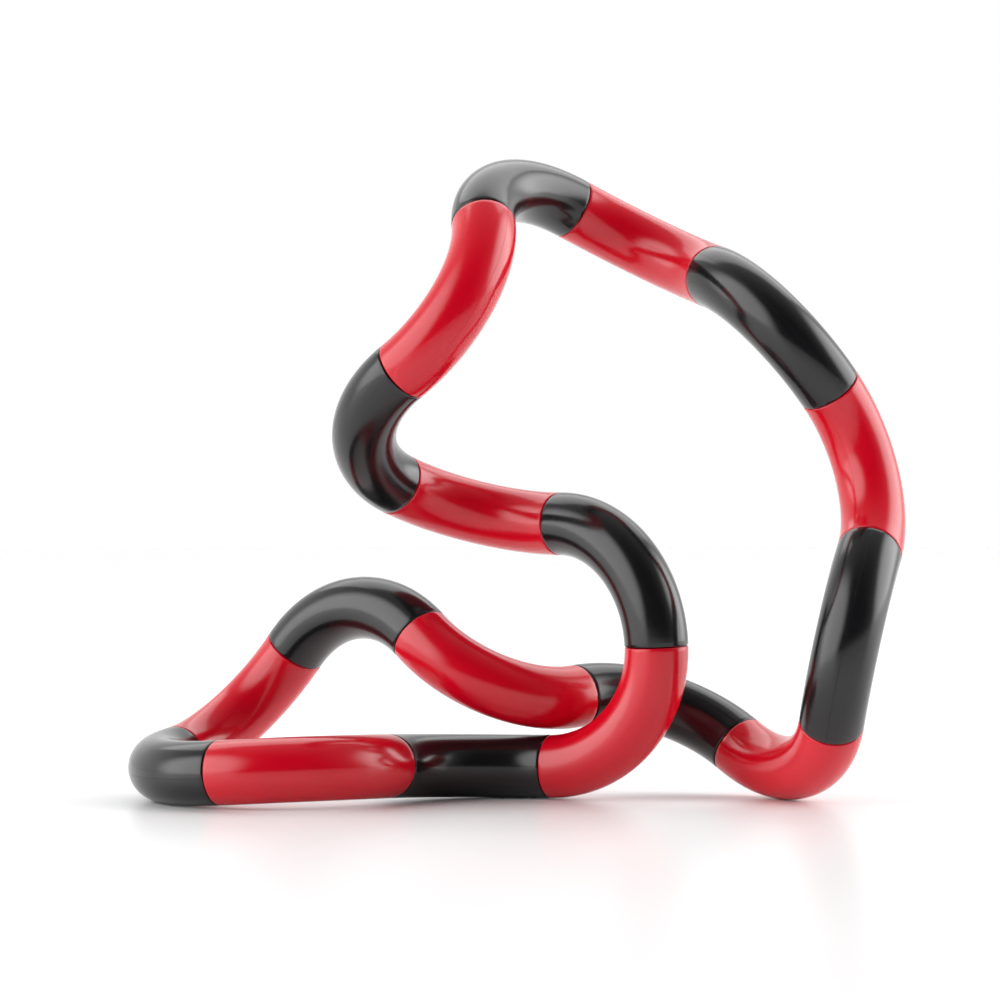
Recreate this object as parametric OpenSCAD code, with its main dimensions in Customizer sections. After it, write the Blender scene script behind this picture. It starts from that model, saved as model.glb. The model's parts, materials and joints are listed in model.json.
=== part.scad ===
// Twisty snake puzzle: eighteen quarter-circle tube links snapped together into one closed
// loop. Every link swivels about the tube's axis where it meets the next one. A link is
// moulded as two hollow half shells that are welded along the plane of its bend. One end of
// a link carries a slotted stem with a lip, and the other end is the collar it snaps into.
// Millimetres. +Z is up, the loop rests on z = 0, and the origin is below its middle.

/* [Tube] */
// Outside diameter of the tube
tube_d = 10.5; // [8:0.5:12]
// Radius of each link's bend, measured to the middle of the tube
bend_r = 20; // [18:0.5:26]
// Thickness of the shell wall
wall = 1.2; // [0.8:0.1:1.6]
// Gap between the end faces of two links
end_gap = 0.1; // [0.06:0.02:0.2]
// Size of the small chamfer round each end face
edge_break = 0.25; // [0:0.05:0.4]

/* [Snap swivel] */
// Diameter of the stem that turns in the next link's collar
stem_d = 6.4; // [5:0.1:6.6]
// Bore of the hollow stem
stem_bore_d = 4.2; // [3:0.1:4.8]
// Gap between stem and collar, on the radius
running_gap = 0.08; // [0.05:0.01:0.1]
// Length of the collar's bore
collar_l = 2; // [1.5:0.1:2.6]
// How far the lip stands out beyond the stem, on the radius
lip_h = 0.4; // [0.2:0.05:0.45]
// Play along the axis between the lip and the back of the collar
lip_play = 0.15; // [0.1:0.05:0.3]
// Length of the stem's lip at its full diameter
lip_l = 0.5; // [0.3:0.1:0.8]
// Length of the lead-in cone at the stem's tip
lead_in_l = 1.1; // [0.8:0.1:1.4]
// Width of the slots that let the stem's fingers spring inwards
slot_w = 0.8; // [0.5:0.1:1.2]
// Thickness of the end wall that carries the stem
end_wall = 1.4; // [1:0.1:2]

/* [Pose, the swivel angle where each link meets the one before it] */
// Swivel between links 18 and 1, in degrees
swivel_01 = -9; // [-12:1:-6]
// Swivel between links 1 and 2
swivel_02 = -177; // [-180:1:-174]
// Swivel between links 2 and 3
swivel_03 = -84; // [-87:1:-81]
// Swivel between links 3 and 4
swivel_04 = -17; // [-20:1:-14]
// Swivel between links 4 and 5
swivel_05 = 113; // [110:1:116]
// Swivel between links 5 and 6
swivel_06 = 36; // [33:1:39]
// Swivel between links 6 and 7
swivel_07 = 75; // [72:1:78]
// Swivel between links 7 and 8
swivel_08 = -101; // [-104:1:-98]
// Swivel between links 8 and 9
swivel_09 = -32; // [-35:1:-29]
// Swivel between links 9 and 10
swivel_10 = 155; // [152:1:158]
// Swivel between links 10 and 11
swivel_11 = -136; // [-139:1:-133]
// Swivel between links 11 and 12
swivel_12 = 142; // [139:1:145]
// Swivel between links 12 and 13
swivel_13 = -53; // [-56:1:-50]
// Swivel between links 13 and 14
swivel_14 = -73; // [-76:1:-70]
// Swivel between links 14 and 15
swivel_15 = 173; // [170:1:176]
// Swivel between links 15 and 16
swivel_16 = 104; // [101:1:107]
// Swivel between links 16 and 17
swivel_17 = 73; // [70:1:76]
// Swivel between links 17 and 18
swivel_18 = -47; // [-50:1:-44]

/* [Stance] */
// Direction in which link 1 starts, in degrees from +X towards +Y
heading = -26.34; // [-60:0.01:60]
// Slope at which link 1 starts, in degrees, upwards positive
slope = 4.25; // [-20:0.01:20]
// Lean of link 1's bend out of the level, in degrees
lean = -3.31; // [-20:0.01:20]

/* [Hidden] */
$fn = 96;
eps = 0.01;
links = 18;
tube_r = tube_d / 2;
cavity_r = tube_r - wall;
stem_r = stem_d / 2;
collar_r = stem_r + running_gap;
lip_r = stem_r + lip_h;
half_gap = end_gap / 2;
reach = bend_r + tube_d;
sides = ["left", "right"];
black = [0.07, 0.07, 0.08];
red = [0.80, 0.05, 0.10];

// Where the stem's outline changes, measured along its axis from the plane of the joint
lip_back = collar_l + lip_play;
lip_front = lip_back + lip_l;
stem_tip = lip_front + lead_in_l;
slot_start = 0.5;

swivels = [
  swivel_01, swivel_02, swivel_03, swivel_04, swivel_05, swivel_06,
  swivel_07, swivel_08, swivel_09, swivel_10, swivel_11, swivel_12,
  swivel_13, swivel_14, swivel_15, swivel_16, swivel_17, swivel_18
];

// ---- The chain of joints -------------------------------------------------------------
// A joint is [place, direction of the tube, direction to the centre of the next bend].

function turned(v, axis, angle) =
  v * cos(angle) + cross(axis, v) * sin(angle) + axis * (axis * v) * (1 - cos(angle));

function next_joint(joint, swivel) =
  let (place = joint[0], along = joint[1], inward = joint[2])
  [place + bend_r * (along + inward), inward, turned(-along, inward, swivel)];

// All the joints in turn. The last entry is the first joint again once the loop is closed.
function chain(start, angles) = [
  for (k = 0, joint = start; k <= links; k = k + 1, joint = next_joint(joint, angles[k % links])) joint
];

// How far the loop's end is from its start: first as a turn, then as a distance in bends
function loop_error(joints) =
  let (a = joints[0], b = joints[links])
  let (turn = (cross(b[1], a[1]) + cross(b[2], a[2]) + cross(cross(b[1], b[2]), cross(a[1], a[2]))) / 2)
  concat(turn, (a[0] - b[0]) / bend_r);

// What a small turn of joint k does to the loop's end, in the same six terms
function effect(joints, k) =
  concat(joints[k][1], cross(joints[k][1], joints[links][0] - joints[k][0]) / bend_r);

// Solves m * x = b by elimination
function solve(m, b) =
  let (n = len(b))
  n == 1 ? [b[0] / m[0][0]] :
  let (rest = [for (i = [1:n - 1]) [for (j = [1:n - 1]) m[i][j] - m[i][0] * m[0][j] / m[0][0]]])
  let (x = solve(rest, [for (i = [1:n - 1]) b[i] - m[i][0] * b[0] / m[0][0]]))
  concat([(b[0] - [for (j = [1:n - 1]) m[0][j]] * x) / m[0][0]], x);

// Eases every swivel by the least amount that closes the loop
function closed(angles, rounds) =
  rounds == 0 ? angles :
  let (joints = chain([[0, 0, 0], [1, 0, 0], [0, 1, 0]], angles))
  let (effects = [for (k = [1:links]) effect(joints, k)])
  let (square = [for (i = [0:5]) [for (j = [0:5]) [for (e = effects) e[i]] * [for (e = effects) e[j]]]])
  let (push = solve(square, loop_error(joints)))
  let (ease = [for (k = [0:links - 1]) (effects[(k + links - 1) % links] * push) * 180 / PI])
  closed(angles + ease, rounds - 1);

closing_rounds = 6;
start_along = [cos(heading) * cos(slope), sin(heading) * cos(slope), sin(slope)];
start_side = [-sin(heading), cos(heading), 0];
start_inward = turned(start_side, start_along, lean);
loose_joints = chain([[0, 0, 0], start_along, start_inward], closed(swivels, closing_rounds));

// ---- Placing the loop on the floor ---------------------------------------------------

// How far the tube reaches in a direction, sampled along every bend
function reach_towards(way, joints) = max([
  for (k = [0:links - 1], angle = [0:0.5:90])
    let (place = joints[k][0], along = joints[k][1], inward = joints[k][2])
    let (middle = place + bend_r * (inward * (1 - cos(angle)) + along * sin(angle)))
    let (tangent = (inward * sin(angle) + along * cos(angle)) * way)
    middle * way + tube_r * sqrt(max(0, 1 - tangent * tangent))
]);

x_mid = (reach_towards([1, 0, 0], loose_joints) - reach_towards([-1, 0, 0], loose_joints)) / 2;
y_mid = (reach_towards([0, 1, 0], loose_joints) - reach_towards([0, -1, 0], loose_joints)) / 2;
z_low = -reach_towards([0, 0, -1], loose_joints);
joints = [for (j = loose_joints) [j[0] - [x_mid, y_mid, z_low], j[1], j[2]]];

// ---- One link, with the centre of its bend at the origin -------------------------------
// It starts at [bend_r, 0, 0] heading along +Y, and ends at [0, bend_r, 0] heading along -X.

module bent_rod(radius) {
  rotate_extrude(angle = 90) translate([bend_r, 0]) circle(r = radius);
}

// Solid of revolution about the tube's axis at the start of the link, pointing along +Y
module on_start_axis() {
  translate([bend_r, 0, 0]) rotate([-90, 0, 0]) children();
}

// The same at the end of the link, pointing out of it along -X
module on_end_axis() {
  translate([0, bend_r, 0]) rotate([0, -90, 0]) children();
}

// Hollow of the link, between the back of the collar and the end wall
module cavity() {
  intersection() {
    bent_rod(cavity_r);
    translate([end_wall, collar_l, -reach]) cube(2 * reach);
  }
}

// Cuts half of the end gap off the tube and breaks the sharp edge
module end_trim() {
  far = tube_r + 1;
  rotate_extrude() polygon([
    [0, -1],
    [far, -1],
    [far, half_gap + edge_break + far - tube_r],
    [tube_r - edge_break, half_gap],
    [0, half_gap]
  ]);
}

// Stem with its lip, standing along +Z from inside the end wall
module stem() {
  difference() {
    rotate_extrude() polygon([
      [stem_bore_d / 2, -end_wall / 2],
      [stem_r, -end_wall / 2],
      [stem_r, lip_back],
      [lip_r, lip_back],
      [lip_r, lip_front],
      [stem_r - lip_h, stem_tip],
      [stem_bore_d / 2, stem_tip]
    ]);
    for (turn = [0, 90])
      rotate(turn) translate([-reach, -slot_w / 2, slot_start]) cube([2 * reach, slot_w, reach]);
  }
}

module link_body() {
  difference() {
    bent_rod(tube_r);
    cavity();
    on_start_axis() translate([0, 0, -1]) cylinder(r = collar_r, h = collar_l + 1 + eps);
    on_start_axis() end_trim();
    on_end_axis() mirror([0, 0, 1]) end_trim();
  }
  on_end_axis() stem();
}

// The half of a link on one side of the plane of its bend
module half_link(side) {
  intersection() {
    link_body();
    translate([-reach, -reach, side == "left" ? 0 : -2 * reach]) cube(2 * reach);
  }
}

// ---- The eighteen links -----------------------------------------------------------------

module placed_half(number, side) {
  joint = joints[number - 1];
  away = -joint[2];
  along = joint[1];
  across = cross(away, along);
  centre = joint[0] + bend_r * joint[2];
  place = [for (i = [0:2]) [away[i], along[i], across[i], centre[i]]];
  color(number % 2 == 1 ? red : black) multmatrix(place) half_link(side);
}

function two_digits(number) = str(number < 10 ? "0" : "", number);
function node_name(number, side) = str("link_", two_digits(number), "_", side, "_shell");

for (number = [1:links], side = sides) {
  placed_half(number, side);
}
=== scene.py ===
# %% [markdown]
# # A twisty snake puzzle
# Eighteen equal quarter-circle tubes are snapped end to end into one closed loop. Nine are red
# and nine are black, and each one swivels about the tube's own axis where it meets the next.
# This lesson builds the looks of the toy round its engineering model: one link is modelled on
# the workbench, then laid along the chain of joints that the model gives. Lengths are metres.

# %% Load the engineering model
import json
import math
from itertools import product

import bmesh
import bpy
from mathutils import Matrix, Vector


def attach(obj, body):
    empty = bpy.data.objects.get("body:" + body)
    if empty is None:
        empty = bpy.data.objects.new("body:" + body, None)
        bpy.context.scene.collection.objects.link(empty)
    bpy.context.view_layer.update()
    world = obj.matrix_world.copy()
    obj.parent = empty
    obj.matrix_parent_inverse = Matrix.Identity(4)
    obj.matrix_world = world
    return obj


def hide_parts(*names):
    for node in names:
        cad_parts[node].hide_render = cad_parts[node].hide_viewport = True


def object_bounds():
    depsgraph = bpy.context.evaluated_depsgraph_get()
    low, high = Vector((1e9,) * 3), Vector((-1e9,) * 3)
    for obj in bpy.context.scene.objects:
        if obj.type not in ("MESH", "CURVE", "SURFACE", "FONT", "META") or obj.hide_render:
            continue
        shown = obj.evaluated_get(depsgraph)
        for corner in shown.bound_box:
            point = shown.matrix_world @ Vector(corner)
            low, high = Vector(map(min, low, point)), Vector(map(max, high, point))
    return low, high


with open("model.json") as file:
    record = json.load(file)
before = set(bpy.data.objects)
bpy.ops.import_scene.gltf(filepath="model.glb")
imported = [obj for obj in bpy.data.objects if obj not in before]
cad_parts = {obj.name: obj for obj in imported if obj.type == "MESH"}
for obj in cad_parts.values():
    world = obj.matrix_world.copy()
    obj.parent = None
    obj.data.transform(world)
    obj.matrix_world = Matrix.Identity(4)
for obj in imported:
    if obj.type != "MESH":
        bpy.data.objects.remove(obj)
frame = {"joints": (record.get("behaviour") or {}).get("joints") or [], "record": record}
cad_low, cad_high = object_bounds()

# %% [markdown]
# ## Where the links lie
# The hinges of the model say where one link meets the next and which way the tube runs there.
# A quarter bend that starts along one direction ends along the direction to the bend's centre,
# so two hinges in a row give a whole link. The places could be typed in instead, but then they
# would go wrong as soon as the model's pose changed. The model is a tree, so the closed loop is
# open at one snap in it, and that snap's place is worked out from its neighbours on both sides.

# %% Joints round the loop
MM = 0.001
LINKS = 18


def joint_number(joint):
    """The number at the end of a hinge's name, counted from 0."""
    return int(joint["name"].split("_")[-1]) - 1


places = {joint_number(joint): Vector(joint["pos_m"]) for joint in frame["joints"]}
lines = {joint_number(joint): Vector(joint["axis"]).normalized() for joint in frame["joints"]}
open_snap = (set(range(LINKS)) - set(places)).pop()


def along(number):
    """The hinge's line, turned to run from the link before to the link after."""
    ahead = (number + 1) % LINKS
    behind = (number - 1) % LINKS
    way = places[ahead] - places[number] if ahead in places else places[number] - places[behind]
    return lines[number] if lines[number].dot(way) > 0 else -lines[number]


tangents = {number: along(number) for number in places}
whole = next(number for number in places if (number + 1) % LINKS in places)
BEND_R = (places[(whole + 1) % LINKS] - places[whole]).length / math.sqrt(2)
before = (open_snap - 1) % LINKS
after = (open_snap + 1) % LINKS
across_gap = (places[after] - places[before]) / BEND_R
tangents[open_snap] = ((across_gap - tangents[before] - tangents[after]) / 2).normalized()
places[open_snap] = places[before] + BEND_R * (tangents[before] + tangents[open_snap])
print("bend radius %.2f mm, open snap before link %d" % (BEND_R / MM, open_snap + 1))


def link_place(number):
    """Moves a link from the workbench, where its bend turns about the origin, into the loop."""
    start = tangents[number]
    inward = tangents[(number + 1) % LINKS]
    turn = Matrix((-inward, start, (-inward).cross(start))).transposed()
    return Matrix.Translation(places[number] + BEND_R * inward) @ turn.to_4x4()


# %% [markdown]
# ## The wall of a half shell
# A hollow bent tube can't slide off a straight core, so it is moulded as two half shells that
# are welded along the plane of the bend. On the workbench the bend turns about the origin from
# +X to +Y. The wall is the outline of half a ring, spun through a quarter turn. A curve with a
# round bevel would be quicker, but it gives a closed tube with no wall and no weld line.

# %% Sizes of a link
TUBE_R = 5.25 * MM
WALL = 1.2 * MM
CAVITY_R = TUBE_R - WALL
END_GAP = 0.1 * MM
END_ROUND = 0.25 * MM
END_ROUND_STEPS = 3
WELD_ROUND = 0.02 * MM
OUTSIDE_STEPS = 72
CAVITY_STEPS = 36
BEND_STEPS = 44
SHARP = 1.0  # radians between two faces, above which their edge counts as sharp
TINY = 1e-6
ORIGIN = Vector((0, 0, 0))
Y_AXIS = Vector((0, 1, 0))
Z_AXIS = Vector((0, 0, 1))
print("tube %.1f mm across, wall %.1f mm" % (2 * TUBE_R / MM, WALL / MM))


# %% Sweep an outline, and the wall made from it
def swept(bm, points, centre, axis, start, angle, steps):
    """Sweeps a closed outline about an axis, from a start angle, and closes both its ends."""
    verts = [bm.verts.new(point) for point in points]
    edges = [bm.edges.new(pair) for pair in zip(verts, verts[1:] + verts[:1])]
    bmesh.ops.rotate(bm, verts=verts, cent=centre, matrix=Matrix.Rotation(start, 3, axis))
    bmesh.ops.contextual_create(bm, geom=verts + edges)
    spun = bmesh.ops.spin(
        bm, geom=verts + edges, cent=centre, axis=axis, angle=angle, steps=steps
    )
    last = [e for e in spun["geom_last"] if isinstance(e, bmesh.types.BMEdge)]
    bmesh.ops.contextual_create(bm, geom=last)


def arc(radius, start, stop, steps):
    """Points on an arc about the tube's middle, in the plane across the start of the bend."""
    angles = [start + (stop - start) * i / steps for i in range(steps + 1)]
    return [Vector((BEND_R + radius * math.cos(a), 0, radius * math.sin(a))) for a in angles]


def bent_wall(bm):
    """The wall: half a ring swept about the bend's centre, half a gap short at each end."""
    outline = arc(TUBE_R, 0, math.pi, OUTSIDE_STEPS) + arc(CAVITY_R, math.pi, 0, CAVITY_STEPS)
    trim = END_GAP / 2 / BEND_R
    swept(bm, outline, ORIGIN, Z_AXIS, trim, math.pi / 2 - 2 * trim, BEND_STEPS)


# %% [markdown]
# ## Edges that catch the light
# Moulded parts rarely have a knife edge. The round at each end of a link draws the thin dark
# line between two links, and the hair-fine one at the weld lets the seam show only up close.
# A Bevel modifier would round the inner edges too, where nobody looks, so only the outer edges
# are picked and bevelled here.

# %% Round the ends and the weld line
def from_middle(point):
    """How far a point is from the middle line of the bend."""
    return math.hypot(math.hypot(point.x, point.y) - BEND_R, point.z)


def in_weld_plane(edge):
    """Whether an edge lies where the two halves meet."""
    return all(abs(v.co.z) < TINY for v in edge.verts)


def sharp_edges(bm):
    """The edges of the wall where two faces meet at a sharp angle."""
    return [e for e in bm.edges if e.is_manifold and e.calc_face_angle() > SHARP]


def rim_edges(bm):
    """The sharp outer edge round both ends of the wall."""
    return [
        e for e in sharp_edges(bm)
        if all(abs(from_middle(v.co) - TUBE_R) < TINY for v in e.verts) and not in_weld_plane(e)
    ]


def weld_edges(bm):
    """The sharp outer edges along the weld line, round ends included."""
    return [
        e for e in sharp_edges(bm)
        if all(from_middle(v.co) > TUBE_R - END_ROUND for v in e.verts) and in_weld_plane(e)
    ]


def rounded(bm, edges, size, segments):
    """Rounds these edges by the same amount."""
    bmesh.ops.bevel(
        bm, geom=edges, offset=size, offset_type="OFFSET", affect="EDGES",
        segments=segments, profile=0.5, material=-1, clamp_overlap=True
    )


# %% [markdown]
# ## The swivel
# One end of a link is a collar and the other carries a stem. The stem's lip snaps behind the
# next link's collar, and four slots leave four fingers that spring inwards as it goes in. Both
# are turned shapes, so each is an outline spun about the tube's axis: through half a turn for
# what this half shell carries, and through less than a quarter for one finger. Slots could be
# cut out of a full ring by a boolean, but that leaves long thin faces round each cut.

# %% Sizes of the swivel
COLLAR_R = 3.28 * MM
COLLAR_L = 2.0 * MM
SEAT_R = CAVITY_R + WALL / 4  # collar and end wall reach a little into the wall, so no gap shows
STEM_R = 3.2 * MM
STEM_BORE_R = 2.1 * MM
LIP_R = 3.6 * MM
LIP_BACK = 2.15 * MM
LIP_FRONT = 2.65 * MM
STEM_TIP = 3.75 * MM
LEAD_IN_R = 2.8 * MM
SLOT_W = 0.8 * MM
SLOT_START = 0.5 * MM
END_WALL = 1.4 * MM
HALF_TURN_STEPS = 40
FINGER_STEPS = 20
print("stem clears its collar by %.2f mm all round" % ((COLLAR_R - STEM_R) / MM))


# %% Collar and stem
def turned(bm, profile, place, axis, start, angle, steps):
    """Turns a closed outline of (radius, height) about an axis in the plane of the bend."""
    out = axis.cross(Z_AXIS)
    points = [place + radius * out + height * axis for radius, height in profile]
    swept(bm, points, place, axis, start, angle, steps)


def collar(bm):
    """The ring inside the start of the link that the next stem turns in."""
    profile = [
        (COLLAR_R, END_GAP), (SEAT_R, END_GAP / 2 + TINY), (SEAT_R, COLLAR_L), (COLLAR_R, COLLAR_L)
    ]
    turned(bm, profile, Vector((BEND_R, 0, 0)), Y_AXIS, 0, math.pi, HALF_TURN_STEPS)


def stem(bm):
    """The end wall, the stem's root and the two spring fingers of this half."""
    end = Vector((0, BEND_R, 0))
    out_of_link = Vector((-1, 0, 0))
    wall = [
        (TINY, -END_WALL), (SEAT_R, -END_WALL), (SEAT_R, -END_GAP / 2 - TINY), (TINY, -END_GAP)
    ]
    root = [
        (STEM_BORE_R, -END_WALL / 2), (STEM_R, -END_WALL / 2),
        (STEM_R, SLOT_START), (STEM_BORE_R, SLOT_START)
    ]
    finger = [
        (STEM_BORE_R, 0), (STEM_R, 0), (STEM_R, LIP_BACK), (LIP_R, LIP_BACK),
        (LIP_R, LIP_FRONT), (LEAD_IN_R, STEM_TIP), (STEM_BORE_R, STEM_TIP)
    ]
    for profile in (wall, root):
        turned(bm, profile, end, out_of_link, 0, math.pi, HALF_TURN_STEPS)
    half_slot = SLOT_W / 2 / STEM_R
    for quarter in (0, math.pi / 2):
        turned(
            bm, finger, end, out_of_link, quarter + half_slot,
            math.pi / 2 - 2 * half_slot, FINGER_STEPS
        )


# %% [markdown]
# ## Two halves make a link
# The two half shells of a link mirror each other, so the right one is the left one turned over
# with a scale of -1. That turns its faces inside out, so the normals are worked out again last.
# A Mirror modifier would be quicker, but it would leave both halves as one piece. Smooth shading
# makes the tube look round, with the sharp edges kept by their angle.

# %% Both halves on the workbench
CREASE = math.radians(35)


def half_shell(side):
    """One half shell: the left one lies above the plane of the bend, the right one below it."""
    bm = bmesh.new()
    bent_wall(bm)
    bmesh.ops.recalc_face_normals(bm, faces=bm.faces)
    rounded(bm, rim_edges(bm), END_ROUND, END_ROUND_STEPS)
    rounded(bm, weld_edges(bm), WELD_ROUND, 1)
    collar(bm)
    stem(bm)
    if side == "right":
        bmesh.ops.scale(bm, vec=(1, 1, -1), verts=bm.verts)
    bmesh.ops.recalc_face_normals(bm, faces=bm.faces)
    for face in bm.faces:
        face.smooth = True
    mesh = bpy.data.meshes.new("workbench_%s_shell" % side)
    bm.to_mesh(mesh)
    bm.free()
    mesh.set_sharp_from_angle(angle=CREASE)
    print(side, "shell:", len(mesh.polygons), "faces")
    return mesh


workbench = {side: half_shell(side) for side in ("left", "right")}

# %% [markdown]
# ## Glossy ABS
# The links are injection moulded from ABS, polished in the mould, which gives a deep even colour
# under a clear gloss. Its refractive index is 1.54. Up close the surface is never perfect: the
# wall thickness makes it wave a little (a few millimetres), handling leaves fine scuffs that
# change the roughness, and pigment is a touch uneven. The three patterns are kept faint. One
# plain colour would look too clean, and a picture would have to be unwrapped round every bend.

# %% Colours and nodes
RED_HEX = "D60421"
RED_CLOUD_HEX = "C6021D"
BLACK_HEX = "151517"
BLACK_CLOUD_HEX = "101012"
ABS_IOR = 1.54
POLISH = 0.15  # roughness where the mould's polish is untouched
SCUFFED = 0.23  # roughness where handling has dulled it
CLOUD_MM = 9
CLOUD_DETAIL = 3.0
SCUFF_MM = 0.7  # real scuffs are as fine as a hair, and are drawn coarser here so that they show
SCUFF_DETAIL = 6.0
SCUFF_GRAIN = 0.7
SCUFF_FAINT = 0.35  # below this the noise leaves the polish alone
SCUFF_FULL = 0.75
WAVE_MM = 6
WAVE_DETAIL = 1.0
WAVE_DEPTH = 0.3 * MM
WAVE_STRENGTH = 0.12
# A Mix node has an A and a B input for each kind of data, told apart only by their order
NUMBER_A, NUMBER_B = 2, 3
COLOUR_A, COLOUR_B = 6, 7
COLOUR_RESULT = 2


def linear(hex_colour):
    """An sRGB hex value as linear red, green, blue and alpha."""
    parts = [int(hex_colour[i:i + 2], 16) / 255 for i in (0, 2, 4)]
    return [p / 12.92 if p <= 0.04045 else ((p + 0.055) / 1.055) ** 2.4 for p in parts] + [1]


def per_metre(pattern_mm):
    """The Scale of a pattern whose real size is given in millimetres."""
    return 1000 / pattern_mm


def add(tree, kind, settings=None, inputs=None):
    """Adds one node with its settings, and gives each named input its value or its link."""
    node = tree.nodes.new(kind)
    for name, value in (settings or {}).items():
        setattr(node, name, value)
    for name, value in (inputs or {}).items():
        if isinstance(value, bpy.types.NodeSocket):
            tree.links.new(value, node.inputs[name])
        else:
            node.inputs[name].default_value = value
    return node


print("linear red:", [round(part, 3) for part in linear(RED_HEX)])


# %% Moulded ABS in both colours
def moulded_abs(name, hex_colour, cloud_hex):
    """Polished ABS: clouds for depth, scuffs for a used gloss, a wave that bends reflections."""
    material = bpy.data.materials.new(name)
    material.use_nodes = True
    tree = material.node_tree
    tree.nodes.clear()
    where = add(tree, "ShaderNodeTexCoord").outputs["Object"]
    clouds = add(tree, "ShaderNodeTexNoise", inputs={
        "Vector": where, "Scale": per_metre(CLOUD_MM), "Detail": CLOUD_DETAIL
    })
    colour = add(tree, "ShaderNodeMix", {"data_type": "RGBA"}, {
        "Factor": clouds.outputs["Fac"],
        COLOUR_A: linear(hex_colour),
        COLOUR_B: linear(cloud_hex)
    })
    scuffs = add(tree, "ShaderNodeTexNoise", inputs={
        "Vector": where,
        "Scale": per_metre(SCUFF_MM),
        "Detail": SCUFF_DETAIL,
        "Roughness": SCUFF_GRAIN
    })
    roughness = add(tree, "ShaderNodeMapRange", inputs={
        "Value": scuffs.outputs["Fac"],
        "From Min": SCUFF_FAINT,
        "From Max": SCUFF_FULL,
        "To Min": POLISH,
        "To Max": SCUFFED
    })
    wave = add(tree, "ShaderNodeTexNoise", inputs={
        "Vector": where, "Scale": per_metre(WAVE_MM), "Detail": WAVE_DETAIL
    })
    bump = add(tree, "ShaderNodeBump", inputs={
        "Height": wave.outputs["Fac"], "Strength": WAVE_STRENGTH, "Distance": WAVE_DEPTH
    })
    surface = add(tree, "ShaderNodeBsdfPrincipled", inputs={
        "Base Color": colour.outputs[COLOUR_RESULT],
        "Roughness": roughness.outputs["Result"],
        "IOR": ABS_IOR,
        "Normal": bump.outputs["Normal"]
    })
    add(tree, "ShaderNodeOutputMaterial", inputs={"Surface": surface.outputs["BSDF"]})
    return material


finishes = {
    "red_shell": moulded_abs("gloss_red_abs", RED_HEX, RED_CLOUD_HEX),
    "black_shell": moulded_abs("gloss_black_abs", BLACK_HEX, BLACK_CLOUD_HEX),
}
print("finishes:", ", ".join(finishes))

# %% [markdown]
# ## Laying the links along the loop
# Each half shell is a copy of the workbench mesh with its place in the mesh itself, so the
# finished object sits at the origin like the model's own nodes. It rides on its link's body and
# stands for the plain node of the same name. Odd links are red and even ones black. Linked
# copies would save memory, but then the places would be in the objects and the patterns alike.

# %% Place every half shell
slots = {part["node"]: part["material_slot"] for part in frame["record"]["subparts"]}
for number, side in product(range(LINKS), workbench):
    body = "link_%02d" % (number + 1)
    node = "%s_%s_shell" % (body, side)
    mesh = workbench[side].copy()
    mesh.transform(link_place(number))
    mesh.materials.append(finishes[slots[node]])
    shell = bpy.data.objects.new("moulded_" + node, mesh)
    bpy.context.scene.collection.objects.link(shell)
    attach(shell, body)
    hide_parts(node)
for mesh in workbench.values():
    bpy.data.meshes.remove(mesh)
print("placed", LINKS * len(workbench), "half shells")

# %% [markdown]
# ## The floor
# The toy stands on smooth white board, bright enough to bounce light up under the tubes. A
# slight sheen gives the soft reflection below them, and a faint mottle keeps it from looking
# like empty space. A square plane would do, but a large round sheet has its edge equally far
# away on every side, too far to notice.

# %% Floor
FLOOR_R = 3.0
FLOOR_SIDES = 96
MOTTLE_MM = 40
BOARD_HEX = "F6F6F6"
BOARD_PALE_HEX = "FAFAFA"
BOARD_ROUGHNESS = 0.3
BOARD_SHEEN = 0.22


def floor_material():
    """Smooth white board: a faint mottle, with enough sheen for a soft reflection."""
    material = bpy.data.materials.new("white_board")
    material.use_nodes = True
    tree = material.node_tree
    tree.nodes.clear()
    where = add(tree, "ShaderNodeTexCoord").outputs["Object"]
    mottle = add(tree, "ShaderNodeTexNoise", inputs={
        "Vector": where, "Scale": per_metre(MOTTLE_MM)
    })
    colour = add(tree, "ShaderNodeMix", {"data_type": "RGBA"}, {
        "Factor": mottle.outputs["Fac"],
        COLOUR_A: linear(BOARD_HEX),
        COLOUR_B: linear(BOARD_PALE_HEX)
    })
    surface = add(tree, "ShaderNodeBsdfPrincipled", inputs={
        "Base Color": colour.outputs[COLOUR_RESULT],
        "Roughness": BOARD_ROUGHNESS,
        "Specular IOR Level": BOARD_SHEEN
    })
    add(tree, "ShaderNodeOutputMaterial", inputs={"Surface": surface.outputs["BSDF"]})
    return material


bm = bmesh.new()
bmesh.ops.create_circle(bm, cap_ends=True, segments=FLOOR_SIDES, radius=FLOOR_R)
floor_mesh = bpy.data.meshes.new("floor")
bm.to_mesh(floor_mesh)
bm.free()
floor_mesh.materials.append(floor_material())
floor = bpy.data.objects.new("floor", floor_mesh)
bpy.context.scene.collection.objects.link(floor)
print("floor across: %.1f m" % (2 * FLOOR_R))

# %% [markdown]
# ## The light tent
# Gloss shows what is round it, so the surroundings are designed first. White walls mirror in
# the edges of a round tube and the dim side, where the camera looks in, mirrors in its middle:
# that draws the pale bands along every link. Lamps alone would leave hard spots. The walls are
# the world's own glow, which rises from front to back and falls towards the top, with a round
# soft panel on either side. The camera itself sees plain white behind the toy.

# %% Walls of the tent
FRONT_GLOW, BACK_GLOW = 0.03, 1.1
FRONT_ENDS, BACK_STARTS = -0.85, 0.3  # how far back a direction points, from -1 to 1
LEVEL_GLOW, TOP_GLOW = 1.0, 0.4
LEVEL_ENDS, TOP_STARTS = 0.3, 0.9  # how far up a direction points, from -1 to 1
PANEL_EDGE = 10  # degrees over which a panel fades, to either side of its half width
PANELS = [  # direction to its middle, half width in degrees, strength
    ((-0.9, -0.42, 0.33), 32, 3.0),
    ((0.98, 0.17, 0.33), 26, 3.6),
]
BACKDROP = 1.0


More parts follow.
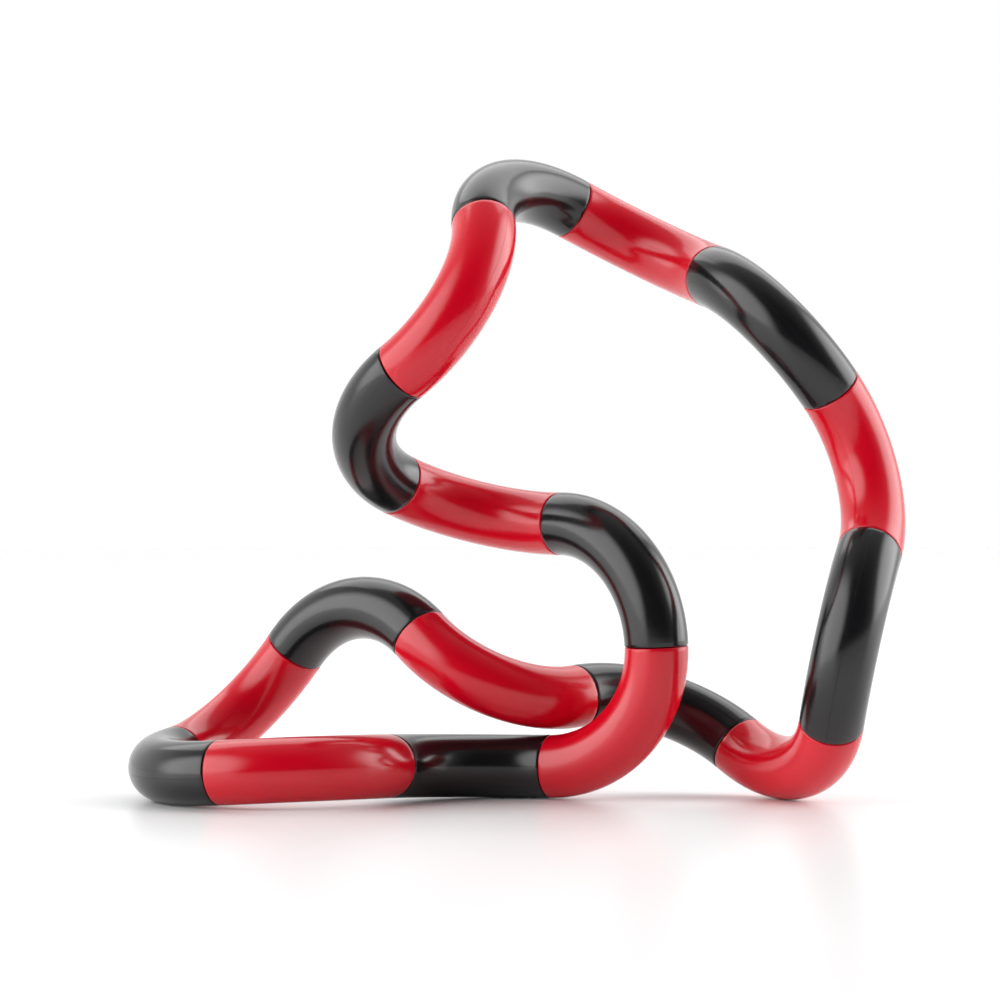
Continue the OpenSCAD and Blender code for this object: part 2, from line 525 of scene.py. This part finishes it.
def fade(tree, value, from_min, from_max, to_min, to_max):
    """A smooth change from one strength to another as a value rises."""
    return add(tree, "ShaderNodeMapRange", {"interpolation_type": "SMOOTHSTEP"}, {
        "Value": value,
        "From Min": from_min,
        "From Max": from_max,
        "To Min": to_min,
        "To Max": to_max
    }).outputs["Result"]


def panel(tree, way, aim, half_width, strength):
    """One soft round panel of the tent: how strongly it shines from each direction."""
    facing = add(tree, "ShaderNodeVectorMath", {"operation": "DOT_PRODUCT"}, {
        0: way, 1: Vector(aim).normalized()
    })
    rim = math.cos(math.radians(half_width + PANEL_EDGE))
    core = math.cos(math.radians(half_width - PANEL_EDGE))
    return fade(tree, facing.outputs["Value"], rim, core, 0.0, strength)


def tent_walls():
    """The tent as the world: white behind, dimmer above, and dark where the camera looks in."""
    world = bpy.data.worlds.new("light_tent")
    world.use_nodes = True
    tree = world.node_tree
    tree.nodes.clear()
    way = add(tree, "ShaderNodeTexCoord").outputs["Generated"]
    split = add(tree, "ShaderNodeSeparateXYZ", inputs={"Vector": way})
    back = fade(tree, split.outputs["Y"], FRONT_ENDS, BACK_STARTS, FRONT_GLOW, BACK_GLOW)
    above = fade(tree, split.outputs["Z"], LEVEL_ENDS, TOP_STARTS, LEVEL_GLOW, TOP_GLOW)
    glow = add(tree, "ShaderNodeMath", {"operation": "MULTIPLY"}, {0: back, 1: above})
    for aim, half_width, strength in PANELS:
        lit = panel(tree, way, aim, half_width, strength)
        glow = add(tree, "ShaderNodeMath", {"operation": "ADD"}, {0: glow.outputs[0], 1: lit})
    seen = add(tree, "ShaderNodeLightPath").outputs["Is Camera Ray"]
    shown = add(tree, "ShaderNodeMix", {"data_type": "FLOAT"}, {
        "Factor": seen, NUMBER_A: glow.outputs[0], NUMBER_B: BACKDROP
    })
    background = add(tree, "ShaderNodeBackground", inputs={
        "Color": (1, 1, 1, 1), "Strength": shown.outputs[0]
    })
    add(tree, "ShaderNodeOutputWorld", inputs={"Surface": background.outputs[0]})
    return world


bpy.context.scene.world = tent_walls()
print("tent panels:", len(PANELS))

# %% [markdown]
# ## A diffuser above
# The tent lights the toy from nearly all round, so its shadows are faint. One large lamp behind
# a diffuser, above and behind the toy, adds highlights on the upper edges and soft shadows
# under the tubes. A sun or a point lamp would draw hard shadows, and this one is far wider than
# the toy, so its shadows have no hard edge.

# %% Diffuser
DIFFUSER_WIDTH = 1.6
DIFFUSER_HEIGHT = 0.8
DIFFUSER_WATTS = 7
DIFFUSER_PLACE = (0, 0.7, 1.0)
diffuser = bpy.data.lights.new("back_top_diffuser", "AREA")
diffuser.shape = "RECTANGLE"
diffuser.size = DIFFUSER_WIDTH
diffuser.size_y = DIFFUSER_HEIGHT
diffuser.energy = DIFFUSER_WATTS
lamp = bpy.data.objects.new("back_top_diffuser", diffuser)
lamp.location = DIFFUSER_PLACE
lamp.rotation_mode = "QUATERNION"
lamp_aim = (cad_low + cad_high) / 2 - Vector(DIFFUSER_PLACE)
lamp.rotation_quaternion = lamp_aim.to_track_quat("-Z", "Y")
bpy.context.scene.collection.objects.link(lamp)
print("diffuser: %.1f x %.1f m, %d W" % (DIFFUSER_WIDTH, DIFFUSER_HEIGHT, DIFFUSER_WATTS))

# %% [markdown]
# ## The camera
# A long lens from over half a metre away keeps the tubes' thickness even from front to back, as
# in a catalogue. It stands low, about level with the toy's middle, and looks straight ahead, so
# the floor is seen almost edge on. The plain view transform keeps white board white, where a
# filmic one would grey it.

# %% Camera
SENSOR_MM = 36
LENS_MM = 121.8
CAMERA_PLACE = (-0.0022, -0.561, 0.0492)
PITCH = math.radians(90.035)
ROLL = math.radians(0.08)
NEAREST = 0.01
FARTHEST = 20
camera_data = bpy.data.cameras.new("camera")
camera_data.sensor_width = SENSOR_MM
camera_data.lens = LENS_MM
camera_data.clip_start = NEAREST
camera_data.clip_end = FARTHEST
camera = bpy.data.objects.new("camera", camera_data)
camera.location = CAMERA_PLACE
camera.rotation_euler = (PITCH, ROLL, 0)
bpy.context.scene.collection.objects.link(camera)
bpy.context.scene.camera = camera
bpy.context.scene.view_settings.view_transform = "Standard"
print("lens: %.1f mm" % LENS_MM)
